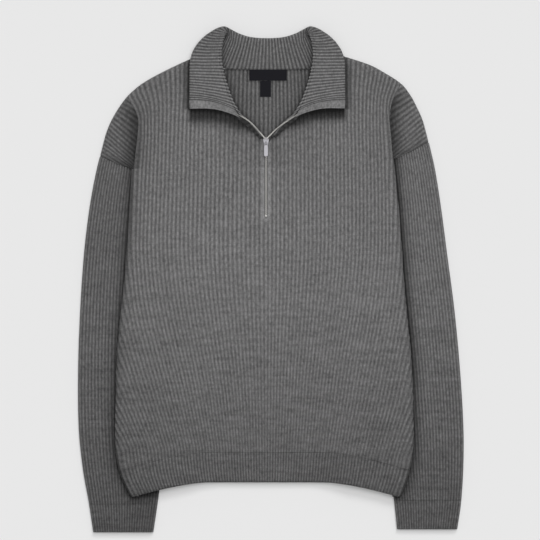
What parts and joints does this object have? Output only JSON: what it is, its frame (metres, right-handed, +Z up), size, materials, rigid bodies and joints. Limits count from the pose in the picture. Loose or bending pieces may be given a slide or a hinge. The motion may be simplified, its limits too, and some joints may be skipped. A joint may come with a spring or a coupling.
{
  "type": "quarter zip sweater",
  "caption": "Rib-knit quarter zip sweater with dropped shoulders, laid flat on its back with its sleeves drawn down and its collar turned out.",
  "frame": {"origin": "middle of the footprint, on the surface that the sweater lies on", "axes": "+X to the right as it is seen from above, which is the wearer's left, +Y from the hem to the collar, +Z up off the surface and out of the front"},
  "size_m": [0.579, 0.7589, 0.0195],
  "materials": {
    "knit": "matte mid grey melange rib knit",
    "zip_metal": "polished zinc",
    "zip_tape": "woven tape",
    "label": "woven satin, blank"
  },
  "bodies": {
    "garment": {"front_panel": "knit", "back_panel": "knit", "front_hem_band": "knit", "back_hem_band": "knit", "left_sleeve": "knit", "right_sleeve": "knit", "left_cuff": "knit", "right_cuff": "knit", "collar": "knit", "left_open_chain": "zip_metal", "right_open_chain": "zip_metal", "slider": "zip_metal", "closed_chain": "zip_metal", "bottom_stop": "zip_metal", "zip_tape": "zip_tape", "neck_label": "label", "size_tab": "label"},
    "pull_tab": {"pull_tab": "zip_metal"}
  },
  "joints": [
    {"name": "pull_tab_hinge", "type": "hinge", "parent": "garment", "child": "pull_tab", "pos_m": [-0.0075, 0.2056, 0.0137], "axis": [-1, 0, 0], "range_deg": [0, 120]}
  ]
}
